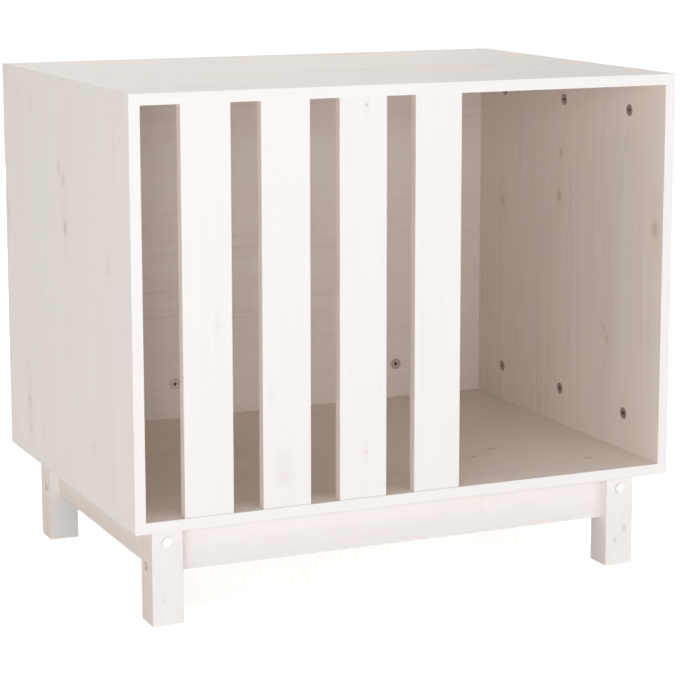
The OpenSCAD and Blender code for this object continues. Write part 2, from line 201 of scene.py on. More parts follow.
def grade(ramp, stops):
    """Gives a colour ramp, named by its output, grey shades at their places with soft steps between."""
    band = ramp.node.color_ramp
    band.interpolation = "EASE"
    for i, (place, shade) in enumerate(stops):
        stop = band.elements[i] if i < 2 else band.elements.new(place)
        stop.position = place
        stop.color = (shade, shade, shade, 1)
    return ramp


def darker(tint, light):
    """A colour with the given share of its light."""
    return tuple(light * c for c in tint[:3]) + (1.0,)


# The kinds of socket, and of the nodes that are used most
FLOAT, VECTOR, INTEGER = "NodeSocketFloat", "NodeSocketVector", "NodeSocketInt"
GEOMETRY, OBJECT, MATERIAL = "NodeSocketGeometry", "NodeSocketObject", "NodeSocketMaterial"
MATH, VECTOR_MATH, MAP_RANGE = "ShaderNodeMath", "ShaderNodeVectorMath", "ShaderNodeMapRange"
NOISE, MIX, COMBINE = "ShaderNodeTexNoise", "ShaderNodeMix", "ShaderNodeCombineXYZ"


# Pine

# How far in metres the pith of a lamella lies off the middle of the board, and leans over a metre, at most
PITH_DEPTH = 0.042
PITH_LEAN = 0.035
# Repeats per metre across, through and along a board: of the wander of its stem, of the years' uneven
# growth, of its fibre, and of the clouds of the wash
STEM_SCALE = (0.0, 0.0, 3.2)
UNEVEN_SCALE = (34.0, 34.0, 3.0)
FIBRE_SCALE = (380.0, 380.0, 9.0)
CLOUD_SCALE = (26.0, 26.0, 3.5)
# Keeps the two directions across the grain of a place, and drops the one along it
ACROSS_GRAIN = (1.0, 1.0, 0.0)
# How far in metres the stem wanders, and by how many years the rings are uneven
STEM_DRIFT = (0.016, 0.016, 0.0)
UNEVEN_YEARS = 1.3
# How much wash the late wood takes away through a year, and how rare strong years are
RING_STOPS = ((0.0, 0.3), (0.32, 0.1), (0.78, 1.0), (1.0, 0.3))
STRONG_YEARS = 1.6
# Moves the patches off the clouds, so that they don't follow them
PATCH_SHIFT = (7.3, 1.9, 4.1)


def ring_group():
    """Growth rings of edge-glued lamellas. Place is in metres, with X across the board, Y through its
    thickness and Z along the grain, so that ends, edges and faces show one and the same piece of wood."""
    tree, given, result = new_group(
        "Pine rings", "ShaderNodeTree",
        [("Place", VECTOR), ("Lamella", FLOAT), ("Ring", FLOAT), ("Seed", FLOAT), ("Bend", FLOAT)],
        [("Late wood", FLOAT), ("Fibre", FLOAT), ("Cloud", FLOAT), ("Tone", FLOAT)],
    )
    x, _, z = add(tree, "ShaderNodeSeparateXYZ", {0: given["Place"]}).node.outputs
    stem_at, flat, uneven_at, fibre_at, cloud_at = [
        add(tree, VECTOR_MATH, {0: given["Place"], 1: scale}, operation="MULTIPLY")
        for scale in (STEM_SCALE, ACROSS_GRAIN, UNEVEN_SCALE, FIBRE_SCALE, CLOUD_SCALE)
    ]

    # Every lamella has its own pith, slope and tone
    rows = add(tree, MATH, {0: x, 1: given["Lamella"]}, operation="DIVIDE")
    row = add(tree, MATH, {0: rows}, operation="FLOOR")
    dice_at = add(tree, COMBINE, {0: row, 1: given["Seed"]})
    dice = add(tree, "ShaderNodeTexWhiteNoise", {"Vector": dice_at}).node.outputs
    side, depth, slope = add(tree, "ShaderNodeSeparateColor", {0: dice["Color"]}).node.outputs
    mid = add(tree, MATH, {0: row, 1: side}, operation="ADD")
    pith_x = add(tree, MATH, {0: mid, 1: given["Lamella"]}, operation="MULTIPLY")
    pith_y = add(tree, MAP_RANGE, {"Value": depth, "To Min": -PITH_DEPTH, "To Max": PITH_DEPTH})
    lean = add(tree, MAP_RANGE, {"Value": slope, "To Min": -PITH_LEAN, "To Max": PITH_LEAN})
    climb = add(tree, MATH, {0: z, 1: lean, 2: pith_y}, operation="MULTIPLY_ADD")
    pith = add(tree, COMBINE, {0: pith_x, 1: climb})

    # The stem isn't straight: its pith wanders a few millimetres over the length of a board
    stem_row = add(tree, VECTOR_MATH, {0: stem_at, 1: dice_at}, operation="ADD")
    wander = add(tree, NOISE, {"Vector": stem_row, "Scale": 1.0, "Detail": 1.0}, output="Color")
    drift = add(tree, VECTOR_MATH, {0: wander, 1: STEM_DRIFT}, operation="MULTIPLY")
    swayed = add(tree, VECTOR_MATH, {0: flat, 1: drift}, operation="ADD")
    radius = add(tree, VECTOR_MATH, {0: swayed, 1: pith}, operation="DISTANCE")

    uneven = add(tree, NOISE, {"Vector": uneven_at, "Scale": 1.0, "Detail": 2.0})
    count = add(tree, MATH, {0: radius, 1: given["Ring"]}, operation="DIVIDE")
    bent = add(tree, MATH, {0: count, 1: given["Bend"]}, operation="ADD")
    years = add(tree, MATH, {0: uneven, 1: UNEVEN_YEARS, 2: bent}, operation="MULTIPLY_ADD")

    # Late wood builds up over the second half of a year. Weak years hardly show.
    season = add(tree, MATH, {0: years}, operation="FRACT")
    grown = grade(add(tree, "ShaderNodeValToRGB", {0: season}), RING_STOPS)
    year = add(tree, MATH, {0: years}, operation="FLOOR")
    year_dice = add(tree, "ShaderNodeTexWhiteNoise", {"W": year}, noise_dimensions="1D")
    strength = add(tree, MATH, {0: year_dice, 1: STRONG_YEARS}, operation="POWER")
    each_year = add(tree, MATH, {0: grown, 1: strength}, operation="MULTIPLY")

    # Fibre streaks of 2 to 3 mm by 100 mm, as fine as the picture can show, and broad soft clouds
    fibre = add(tree, NOISE, {"Vector": fibre_at, "Scale": 1.0, "Detail": 3.0, "Roughness": 0.6})
    cloud_row = add(tree, VECTOR_MATH, {0: cloud_at, 1: dice_at}, operation="ADD")
    cloud = add(tree, NOISE, {"Vector": cloud_row, "Scale": 1.0, "Detail": 3.0, "Roughness": 0.55})

    # The rings come through only in patches, where more of the wash was wiped off
    patch_at = add(tree, VECTOR_MATH, {0: cloud_row, 1: PATCH_SHIFT}, operation="ADD")
    patch = add(tree, NOISE, {"Vector": patch_at, "Scale": 0.6, "Detail": 1.0})
    wiped = add(
        tree, MAP_RANGE, {"Value": patch, "From Min": 0.35, "From Max": 0.7, "To Min": 0.15},
        interpolation_type="SMOOTHSTEP",
    )
    late = add(tree, MATH, {0: each_year, 1: wiped}, operation="MULTIPLY")
    feed(tree, result, {"Late wood": late, "Fibre": fibre, "Cloud": cloud, "Tone": dice["Value"]})


# Shades of a knot from its heart to its rim, and how ragged its outline is
KNOT_STOPS = ((0.0, 1.0), (0.35, 0.7), (0.6, 0.5), (0.8, 0.2), (1.0, 0.0))
RAGGED = (0.9, 0.0, 0.9)
# The grain bends by so many years between these distances, in radii of the knot
BEND_YEARS = 1.9
BEND_REACH = (3.8, 0.5)
# The halo as a share of the knot's distances: longer along the grain than across it
HALO_SHAPE = (0.55, 0.0, 0.17)


def knot_group():
    """One knot. Its heart fades out softly, the grain bends round it, and a halo runs along the grain.
    The knots of a board follow each other in a chain, and each adds its own share."""
    tree, given, result = new_group(
        "Pine knot", "ShaderNodeTree",
        [("Place", VECTOR), ("Centre", VECTOR), ("Size", VECTOR), ("Darkness", FLOAT),
         ("Heart", FLOAT), ("Halo", FLOAT), ("Bend", FLOAT)],
        [("Heart", FLOAT), ("Halo", FLOAT), ("Bend", FLOAT)],
    )
    away = add(tree, VECTOR_MATH, {0: given["Place"], 1: given["Centre"]}, operation="SUBTRACT")
    scaled = add(tree, VECTOR_MATH, {0: away, 1: given["Size"]}, operation="DIVIDE")
    rough = add(tree, NOISE, {"Vector": scaled, "Scale": 1.1, "Detail": 2.0}, output="Color")
    centred = add(tree, VECTOR_MATH, {0: rough, 1: (0.5, 0.5, 0.5)}, operation="SUBTRACT")
    ragged = add(tree, VECTOR_MATH, {0: centred, 1: RAGGED, 2: scaled}, operation="MULTIPLY_ADD")
    distance = add(tree, VECTOR_MATH, {0: ragged}, operation="LENGTH")
    shade = grade(add(tree, "ShaderNodeValToRGB", {0: distance}), KNOT_STOPS)
    heart = add(tree, MATH, {0: shade, 1: given["Darkness"]}, operation="MULTIPLY")
    hearts = add(tree, MATH, {0: heart, 1: given["Heart"]}, operation="MAXIMUM")
    far, near = BEND_REACH
    bend = add(
        tree, MAP_RANGE,
        {"Value": distance, "From Min": far, "From Max": near, "To Max": BEND_YEARS},
        interpolation_type="SMOOTHSTEP",
    )
    bends = add(tree, MATH, {0: bend, 1: given["Bend"]}, operation="ADD")
    spindle = add(tree, VECTOR_MATH, {0: ragged, 1: HALO_SHAPE}, operation="MULTIPLY")
    reach = add(tree, VECTOR_MATH, {0: spindle}, operation="LENGTH")
    halo = add(
        tree, MAP_RANGE,
        {"Value": reach, "From Min": 1.0, "From Max": 0.05, "To Max": given["Darkness"]},
        interpolation_type="SMOOTHSTEP",
    )
    halos = add(tree, MATH, {0: halo, 1: given["Halo"]}, operation="MAXIMUM")
    feed(tree, result, {"Heart": hearts, "Halo": halos, "Bend": bends})


def new_material(name):
    """A new material, its node tree and the shader in it."""
    material = bpy.data.materials.new(name)
    material.use_nodes = True
    tree = material.node_tree
    return material, tree, tree.nodes["Principled BSDF"]


def pine(node):
    """White-washed solid pine of one board: planed, edge-glued lamellas, sanded and wiped with a sheer white
    wash, so rings and knots show through as faint pinkish lines under a matt surface."""
    settings = bpy.context.scene.doghouse_pine
    axes, lamella, seed, thin_and_shaded_sides, knots = BOARDS[node]
    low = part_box(node)[0]
    across, through, along = ["xyz".index(letter) for letter in axes]
    material, tree, shader = new_material("White-washed pine " + node)

    # Places in the board: across it, through it and along its grain, from its lower corner
    coordinates = add(tree, "ShaderNodeTexCoord").node.outputs
    from_corner = add(tree, VECTOR_MATH, {0: coordinates["Object"], 1: low}, operation="SUBTRACT")
    parts = add(tree, "ShaderNodeSeparateXYZ", {0: from_corner}).node.outputs
    place = add(tree, COMBINE, {0: parts[across], 1: parts[through], 2: parts[along]})

    shades = {"Heart": 0.0, "Halo": 0.0, "Bend": 0.0}
    for knot_across, knot_along, radius, darkness in knots:
        knot = add(tree, "ShaderNodeGroup", {
            "Place": place, "Centre": (knot_across * MM, 0, knot_along * MM),
            "Size": (radius * MM, 1.0, KNOT_STRETCH * radius * MM), "Darkness": darkness, **shades,
        }, node_tree=bpy.data.node_groups["Pine knot"]).node
        shades = {shade: knot.outputs[shade] for shade in shades}
    heart, halo, bend = shades.values()
    late, fibre, cloud, tone = add(tree, "ShaderNodeGroup", {
        "Place": place, "Lamella": lamella * MM, "Ring": settings.ring, "Seed": seed, "Bend": bend,
    }, node_tree=bpy.data.node_groups["Pine rings"]).node.outputs

    # The raw wood under the wash
    grain = add(tree, MIX, {0: late, 6: settings.early_wood, 7: settings.late_wood}, data_type="RGBA")
    wood = add(tree, MIX, {0: heart, 6: grain, 7: settings.knot}, data_type="RGBA")

    # Less wash stays on the eased corners and on the sides of the board that got a thinner coat.
    # That thinner coat is partly painted shade, on the sides inside the house and the narrow sides of slats,
    # legs and rails.
    normal = coordinates["Normal"]
    squared = add(tree, VECTOR_MATH, {0: normal, 1: normal}, operation="MULTIPLY")
    flatness = add(tree, VECTOR_MATH, {0: squared, 1: squared}, operation="DOT_PRODUCT")
    bare_and_shaded = add(
        tree, MAP_RANGE,
        {"Value": flatness, "From Min": FLAT, "From Max": EASED, "To Max": EASED_SHOWS},
    )
    for side in thin_and_shaded_sides:
        facing = add(tree, VECTOR_MATH, {0: normal, 1: side}, operation="DOT_PRODUCT")
        thinner_and_shaded = add(tree, MATH, {0: facing, 1: 0.0}, operation="MAXIMUM")
        bare_and_shaded = add(tree, MATH, {0: bare_and_shaded, 1: thinner_and_shaded}, operation="ADD")

    # The patterns take away half of their strength on average, which the cover gives back, and they
    # show more where the coat is thinner, also on the sides with painted shade
    shown = -(settings.cloud_shows + settings.fibre_shows + TONE_SHOWS) / 2
    for pattern, shows in (
        (late, settings.ring_shows), (cloud, settings.cloud_shows), (fibre, settings.fibre_shows),
        (tone, TONE_SHOWS), (halo, HALO_SHOWS), (heart, settings.knot_shows),
    ):
        shown = add(tree, MATH, {0: pattern, 1: shows, 2: shown}, operation="MULTIPLY_ADD")
    clearer = add(tree, MATH, {0: bare_and_shaded, 1: THIN_SHOWS, 2: 1.0}, operation="MULTIPLY_ADD")
    missing = add(tree, MATH, {0: shown, 1: clearer, 2: bare_and_shaded}, operation="MULTIPLY_ADD")
    cover = add(tree, MATH, {0: settings.cover, 1: missing}, operation="SUBTRACT", use_clamp=True)
    washed = add(tree, MIX, {0: cover, 6: wood, 7: settings.wash}, data_type="RGBA")

    # Painted shade where a slat stands on the bottom panel, so the joint shows as a fine grey line like its
    # shadow
    if node.startswith("slat_"):
        full, end = FOOT_SHADE
        foot = add(
            tree, MAP_RANGE,
            {"Value": parts[along], "From Min": end, "From Max": full, "To Max": FOOT_SHOWS},
        )
        washed = add(tree, MIX, {0: foot, 6: washed, 7: settings.foot_shade}, data_type="RGBA")

    # Sanded late wood and fibre stand proud by some hundredths of a millimetre
    rough = add(tree, MAP_RANGE, {"Value": cloud, "To Min": 0.52, "To Max": 0.68})
    relief = add(tree, MATH, {0: fibre, 1: FIBRE_RELIEF, 2: late}, operation="MULTIPLY_ADD")
    bump = add(tree, "ShaderNodeBump", {"Strength": 0.2, "Distance": 0.06 * MM, "Height": relief})
    feed(tree, shader.inputs, {
        "Base Color": washed, "Roughness": rough, "Normal": bump, "IOR": 1.45, "Specular IOR Level": 0.35,
    })
    return material


# A face and an eased corner, as the sum of the fourth powers of the parts of their normals, and how much
# less wash stays on such a corner
FLAT = 0.96
EASED = 0.6
EASED_SHOWS = 0.12
# How high the fibre stands, as a share of the late wood
FIBRE_RELIEF = 0.6
# A knot is longer along the grain
KNOT_STRETCH = 1.15
# How much less wash stays on a dark lamella, and on the grain around a knot
TONE_SHOWS = 0.04
HALO_SHOWS = 0.16
# How much more the patterns show for each share of the wash that is missing
THIN_SHOWS = 1.7
# Heights above the foot of a slat, in metres, between which its painted shade ends, and how much it hides
FOOT_SHADE = (0.7 * MM, 1.3 * MM)
FOOT_SHOWS = 0.3

# One board: the object's axes that run across, through and along it, the width of its lamellas in
# millimetres, the seed of its grain, its sides that got a thinner coat, and its knots. Such a side is a
# vector out of it, as long as the share of the wash that is missing. The thinner coat is partly painted
# shade: the sides inside the house and the narrow sides of slats, legs and rails get it to look shaded.
# A knot is its distances across and along the board from the lower corner, its radius in millimetres
# and its darkness.
SLAT_SIDES = ((0, 0.20, 0), (0.30, 0, 0), (-0.30, 0, 0))
LEG_SIDES = ((0.27, 0, 0), (-0.27, 0, 0), (0, 0.12, 0))
RAIL_SIDES = ((0.28, 0, 0), (-0.28, 0, 0))
BOARDS = {
    "top_panel": (
        "yzx", 83.4, 3, ((0, 0, -0.20), (0, 0, 0.10), (0.10, 0, 0), (-0.10, 0, 0)),
        [(215, 380, 7, 0.5), (420, 130, 5, 0.4), (95, 560, 6, 0.4)],
    ),
    "bottom_panel": (
        "yzx", 83.4, 8, ((0, 0, 0.30), (0, 0, -0.08), (0.10, 0, 0), (-0.10, 0, 0)),
        [(155, 535, 7, 0.45), (127, 495, 5, 0.5), (64, 625, 7, 0.35), (300, 210, 7, 0.5)],
    ),
    "left_side_panel": (
        "yxz", 83.4, 5, ((0.20, 0, 0), (-0.10, 0, 0)),
        [(378, 444, 8, 0.3), (264, 378, 10, 0.35), (246, 364, 9, 0.4), (242, 307, 9, 0.6),
         (484, 296, 9, 0.35), (82, 282, 9, 0.25), (405, 27, 9, 0.25), (146, 55, 9, 0.25),
         (410, 62, 12, 0.35)],
    ),
    "right_side_panel": (
        "yxz", 83.4, 11, ((-0.22, 0, 0), (0.10, 0, 0)),
        [(257, 364, 7, 0.4), (260, 307, 9, 0.5), (418, 281, 8, 0.4), (19, 294, 13, 0.45),
         (138, 152, 7, 0.3), (130, 137, 7, 0.35)],
    ),
    "back_panel": (
        "zyx", 94.6, 14, ((0, -0.20, 0), (0, 0.10, 0)),
        [(254, 535, 4, 0.25), (120, 250, 5, 0.5), (390, 90, 6, 0.5)],
    ),
    "slat_1": ("xyz", 60.0, 21, SLAT_SIDES, [(42, 221, 4, 0.25)]),
    "slat_2": ("xyz", 60.0, 23, SLAT_SIDES, [(27, 37, 15, 0.24), (25, 60, 14, 0.16), (10, 134, 4, 0.25)]),
    "slat_3": ("xyz", 60.0, 26, SLAT_SIDES, [(34, 464, 3.5, 0.7), (34, 56, 3, 0.5)]),
    "slat_4": ("xyz", 60.0, 28, SLAT_SIDES, []),
    "front_left_leg": ("xyz", 60.0, 31, LEG_SIDES, [(14, 30, 3, 0.35)]),
    "front_right_leg": (
        "xyz", 60.0, 33, ((0.1, 0, 0), (-0.1, 0, 0), (0, 0.12, 0)), [(26, 47, 5.5, 0.6), (13, 33, 4.5, 0.5)],
    ),
    "back_left_leg": ("xyz", 60.0, 35, LEG_SIDES, []),
    "back_right_leg": ("xyz", 60.0, 37, LEG_SIDES, [(20, 70, 4, 0.4)]),
    "front_rail": ("zyx", 60.0, 41, ((0, 0.12, 0),), [(24, 118, 7, 0.06), (40, 415, 7, 0.12)]),
    "back_rail": ("zyx", 60.0, 43, ((0, 0.12, 0),), [(30, 300, 5, 0.5)]),
    "left_rail": ("zxy", 60.0, 45, RAIL_SIDES, [(30, 150, 4, 0.4)]),
    "right_rail": ("zxy", 60.0, 47, RAIL_SIDES, [(22, 240, 5, 0.4)]),
}


def dress(node, material):
    """Gives a CAD node its material."""
    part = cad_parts[node]
    part.data.materials.clear()
    part.data.materials.append(material)


def dress_boards(*words):
    """Gives each board with one of the words in its name its own piece of pine."""
    for name in BOARDS:
        if any(word in name for word in words):
            dress(name, pine(name))


def plated_metal(name, base, rough_low, rough_high, recess=None):
    """Metal of a fitting: die-cast or rolled, tumbled and plated, so it shines softly and unevenly. recess
    is an outward vector and its distance from the origin to the face: its recesses get painted shade."""
    material, tree, shader = new_material(name)
    place = add(tree, "ShaderNodeTexCoord", output="Object")
    spots = add(tree, NOISE, {"Vector": place, "Scale": 600.0, "Detail": 3.0, "Roughness": 0.6})
    tint = add(tree, MIX, {0: spots, 6: darker(base, 0.72), 7: base}, data_type="RGBA")
    if recess:
        # Recesses below the face are painted near black as shade
        outward, face = recess
        start, full, floor = CAST_SHADE
        level = add(tree, VECTOR_MATH, {0: place, 1: outward}, operation="DOT_PRODUCT")
        sunk = add(tree, MAP_RANGE, {"Value": level, "From Min": face - start, "From Max": face - full})
        above = add(tree, MATH, {0: level, 1: face - floor}, operation="GREATER_THAN")
        shade = add(tree, MATH, {0: sunk, 1: above}, operation="MULTIPLY")
        tint = add(tree, MIX, {0: shade, 6: tint, 7: darker(base, 0.05)}, data_type="RGBA")
    rough = add(tree, MAP_RANGE, {"Value": spots, "To Min": rough_low, "To Max": rough_high})
    bump = add(tree, "ShaderNodeBump", {"Strength": 0.25, "Distance": 0.05 * MM, "Height": spots})
    feed(tree, shader.inputs, {"Base Color": tint, "Roughness": rough, "Normal": bump, "Metallic": 1.0})
    return material


# Depths below the face of a casting, in metres, at which the painted shade of its recesses starts, is full
# and ends
CAST_SHADE = (0.3 * MM, 1.0 * MM, 2.6 * MM)
# The way out of each panel's cam discs, into the cabin
CAM_FACES = {
    "left_panel_cams": Vector((1, 0, 0)),
    "right_panel_cams": Vector((-1, 0, 0)),
    "back_panel_cams": Vector((0, -1, 0)),
}


def beech(name):
    """Turned beech dowel: pale brown with the short dark flecks of its rays along the grain."""
    settings = bpy.context.scene.doghouse_fittings
    material, tree, shader = new_material(name)
    place = add(tree, "ShaderNodeTexCoord", output="Object")
    rays = add(tree, NOISE, {"Vector": place, "Scale": 700.0, "Detail": 2.0, "Roughness": 0.7})
    flecks = add(tree, MAP_RANGE, {"Value": rays, "From Min": 0.45, "From Max": 0.75, "To Max": 0.7})
    tint = add(tree, MIX, {0: flecks, 6: settings.beech, 7: darker(settings.beech, 0.6)}, data_type="RGBA")
    bump = add(tree, "ShaderNodeBump", {"Strength": 0.3, "Distance": 0.05 * MM, "Height": rays})
    feed(tree, shader.inputs, {"Base Color": tint, "Roughness": 0.6, "Normal": bump})
    return material


def moulded_plastic(name, outward, face):
    """Injection-moulded polyethylene cap: white with a satin skin that takes a soft highlight, and a rim
    painted grey as shade. outward is the way out of the leg and face its distance to the wood."""
    white = bpy.context.scene.doghouse_fittings.plastic
    material, tree, shader = new_material(name)
    place = add(tree, "ShaderNodeTexCoord", output="Object")
    level = add(tree, VECTOR_MATH, {0: place, 1: outward}, operation="DOT_PRODUCT")
    # The rim is painted grey as shade, darkest next to the wood, where the cap's side wall would be shaded
    rim, dome = CAP_RIM_SHADE
    out_of_shade = add(tree, MAP_RANGE, {"Value": level, "From Min": face + rim, "From Max": face + dome})
    tint = add(tree, MIX, {0: out_of_shade, 6: darker(white, 0.5), 7: white}, data_type="RGBA")
    skin = add(tree, NOISE, {"Vector": place, "Scale": 900.0, "Detail": 2.0})
    rough = add(tree, MAP_RANGE, {"Value": skin, "To Min": 0.22, "To Max": 0.34})
    bump = add(tree, "ShaderNodeBump", {"Strength": 0.08, "Distance": 0.02 * MM, "Height": skin})
    feed(tree, shader.inputs, {"Base Color": tint, "Roughness": rough, "Normal": bump, "IOR": 1.5})
    return material


# Heights above the wood, in metres, between which the painted shade on the rim of a cap fades out
CAP_RIM_SHADE = (1.2 * MM, 1.9 * MM)


# Fittings that the boards hide

# One kind of screw in millimetres: its head and the hexagon or cross socket in it, the plain core and
# the crest of its thread, its pitch and its pointed tip
Screw = namedtuple("Screw", "head_d head_h socket socket_r socket_depth core_d crest_d pitch tip")
LEG_SCREW = Screw(10.0, 3.5, "hexagon", 2.3, 2.4, 3.6, 5.0, 2.5, 3.0)
BASE_SCREW = Screw(7.5, 2.5, "cross", 2.2, 1.5, 2.9, 4.0, 2.0, 4.0)
SCREWS = {"leg_screws_front_back": LEG_SCREW, "leg_screws_sides": LEG_SCREW, "base_screws": BASE_SCREW}
# Points round a turned solid, rows of points along a pitch, and the chamfer of heads and shanks
COLUMNS = 24
ROWS_PER_PITCH = 6
EDGE = 0.3
# How much narrower a cross recess is between its arms
CROSS_WAIST = 2.2


def solids(node):
    """The corner points of each separate solid of a CAD node."""
    shape = bmesh.new()
    shape.from_mesh(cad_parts[node].data)
    bmesh.ops.remove_doubles(shape, verts=shape.verts, dist=0.001 * MM)
    waiting = set(shape.verts)
    found = []
    for first in shape.verts:
        if first not in waiting:
            continue
        waiting.remove(first)
        reached = [first]
        for corner in reached:
            for edge in corner.link_edges:
                other = edge.other_vert(corner)
                if other in waiting:
                    waiting.remove(other)
                    reached.append(other)
        found.append([corner.co.copy() for corner in reached])
    shape.free()
    return found


# The share of a fitting's length that counts as its end, and the angle from which an edge is sharp
END_SHARE = 1 / 8
SHARP = math.radians(35)


def seat(corners):
    """Where a fitting starts, at its wider end, the unit vector along it, and its length."""
    low = Vector([min(corner[i] for corner in corners) for i in range(3)])
    high = Vector([max(corner[i] for corner in corners) for i in range(3)])
    middle = (low + high) / 2
    reach = max(high - low)
    axis = list(high - low).index(reach)
    along = Vector([float(i == axis) for i in range(3)])

    def end_width(end):
        near = [corner - middle for corner in corners if abs(corner[axis] - end[axis]) < reach * END_SHARE]
        return max((corner - along * corner.dot(along)).length for corner in near)

    if end_width(high) > end_width(low):
        along = -along
    return middle - along * reach / 2, along, reach


def grow(name, node, seats, tree, values):
    """Runs a node tree on the seats of fittings, and makes the result a piece that replaces the node's."""
    mesh = bpy.data.meshes.new(name + "_seats")
    mesh.from_pydata([start for start, along, reach in seats], [], [])
    attribute = mesh.attributes.new("along", "FLOAT_VECTOR", "POINT")
    attribute.data.foreach_set("vector", [part for start, along, reach in seats for part in along])
    piece = bpy.data.objects.new(name, mesh)
    bpy.context.scene.collection.objects.link(piece)
    modifier = piece.modifiers.new(tree.name, "NODES")
    modifier.node_group = tree
    for socket in tree.interface.items_tree:
        if socket.name in values:
            modifier[socket.identifier] = values[socket.name]
    evaluated = piece.evaluated_get(bpy.context.evaluated_depsgraph_get())
    grown = bpy.data.meshes.new_from_object(evaluated)
    piece.modifiers.remove(modifier)
    piece.data = grown
    grown.name = name
    grown.set_sharp_from_angle(angle=SHARP)
    bpy.data.meshes.remove(mesh)
    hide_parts(node)
    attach(piece, "root")


def stand_on_seats(tree, given, result, fitting, turn):
    """Ends a tree: one fitting along the axis of each seat, turned about it, real and with its material."""
    along = add(tree, "GeometryNodeInputNamedAttribute", {"Name": "along"}, data_type="FLOAT_VECTOR")
    aimed = add(tree, "FunctionNodeAlignRotationToVector", {"Vector": along})
    spin = add(tree, "FunctionNodeEulerToRotation", {0: add(tree, COMBINE, {2: turn})})
    turned_by = add(tree, "FunctionNodeRotateRotation", {0: aimed, 1: spin}, rotation_space="LOCAL")
    rows = add(
        tree, "GeometryNodeInstanceOnPoints",
        {"Points": given["Geometry"], "Instance": fitting, "Rotation": turned_by},
    )
    real = add(tree, "GeometryNodeRealizeInstances", {"Geometry": rows})
    made = add(tree, "GeometryNodeSetMaterial", {"Geometry": real, "Material": given["Material"]})
    feed(tree, result, {"Geometry": made})


# Points of a dowel's section for each flute
FLUTE_POINTS = 6.0


def dowel_tree():
    """Fluted dowels: a round bar with glue grooves along it and a chamfer at both ends."""
    tree, given, result = new_group(
        "Fluted dowels", "GeometryNodeTree",
        [("Geometry", GEOMETRY), ("Diameter", FLOAT), ("Length", FLOAT), ("Chamfer", FLOAT),
         ("Flutes", INTEGER), ("Flute depth", FLOAT), ("Material", MATERIAL)],
        [("Geometry", GEOMETRY)],
    )
    radius = add(tree, MATH, {0: given["Diameter"], 1: 0.5}, operation="MULTIPLY")
    points = add(tree, MATH, {0: given["Flutes"], 1: FLUTE_POINTS}, operation="MULTIPLY")
    circle = add(tree, "GeometryNodeCurvePrimitiveCircle", {"Resolution": points, "Radius": radius})

    # The section of the bar: grooves with round bottoms and flat lands between them
    place = add(tree, "GeometryNodeInputPosition")
    x, y, _ = add(tree, "ShaderNodeSeparateXYZ", {0: place}).node.outputs
    angle = add(tree, MATH, {0: y, 1: x}, operation="ARCTAN2")
    phase = add(tree, MATH, {0: angle, 1: given["Flutes"]}, operation="MULTIPLY")
    wave = add(tree, MATH, {0: phase}, operation="COSINE")
    groove = add(tree, MATH, {0: wave, 1: 0.0}, operation="MAXIMUM")
    depth = add(tree, MATH, {0: given["Flute depth"], 1: radius}, operation="DIVIDE")
    cut = add(tree, MATH, {0: groove, 1: depth}, operation="MULTIPLY")
    kept = add(tree, MATH, {0: 1.0, 1: cut}, operation="SUBTRACT")
    inner = add(tree, VECTOR_MATH, {0: place, "Scale": kept}, operation="SCALE")
    section = add(tree, "GeometryNodeSetPosition", {"Geometry": circle, "Position": inner})

    # The line along it has two points a chamfer apart at each end, and the section narrows at the outer one
    line = add(tree, "GeometryNodeMeshLine", {"Count": 4, "Offset": (0.0, 0.0, 0.0)})
    index = add(tree, "GeometryNodeInputIndex")
    past_middle = add(tree, MATH, {0: index, 1: 1.5}, operation="SUBTRACT")
    end = add(tree, MATH, {0: past_middle}, operation="SIGN")
    off = add(tree, MATH, {0: past_middle}, operation="ABSOLUTE")
    outer = add(tree, MATH, {0: off, 1: 1.0}, operation="GREATER_THAN")
    within = add(tree, MATH, {0: 1.0, 1: outer}, operation="SUBTRACT")
    half = add(tree, MATH, {0: given["Length"], 1: 0.5}, operation="MULTIPLY")
    drawn = add(tree, MATH, {0: within, 1: given["Chamfer"]}, operation="MULTIPLY")
    reach = add(tree, MATH, {0: half, 1: drawn}, operation="SUBTRACT")
    signed = add(tree, MATH, {0: reach, 1: end, 2: half}, operation="MULTIPLY_ADD")
    height = add(tree, COMBINE, {2: signed})
    spaced = add(tree, "GeometryNodeSetPosition", {"Geometry": line, "Position": height})
    path = add(tree, "GeometryNodeMeshToCurve", {"Mesh": spaced})
    narrowing = add(tree, MATH, {0: given["Chamfer"], 1: radius}, operation="DIVIDE")
    lost = add(tree, MATH, {0: outer, 1: narrowing}, operation="MULTIPLY")
    scale = add(tree, MATH, {0: 1.0, 1: lost}, operation="SUBTRACT")
    dowel = add(
        tree, "GeometryNodeCurveToMesh",
        {"Curve": path, "Profile Curve": section, "Scale": scale, "Fill Caps": True},
    )
    stand_on_seats(tree, given, result, dowel, 0.0)


def fastener_tree():
    """Screws or bolts in their holes, each turned as far as it happened to stop."""
    tree, given, result = new_group(
        "Driven fasteners", "GeometryNodeTree",
        [("Geometry", GEOMETRY), ("Fastener", OBJECT), ("Seed", INTEGER), ("Material", MATERIAL)],
        [("Geometry", GEOMETRY)],
    )
    fastener = add(tree, "GeometryNodeObjectInfo", {"Object": given["Fastener"]}, output="Geometry")
    dice = {2: 0.0, 3: math.tau, "Seed": given["Seed"]}
    turn = add(tree, "FunctionNodeRandomValue", dice, data_type="FLOAT")
    stand_on_seats(tree, given, result, fastener, turn)


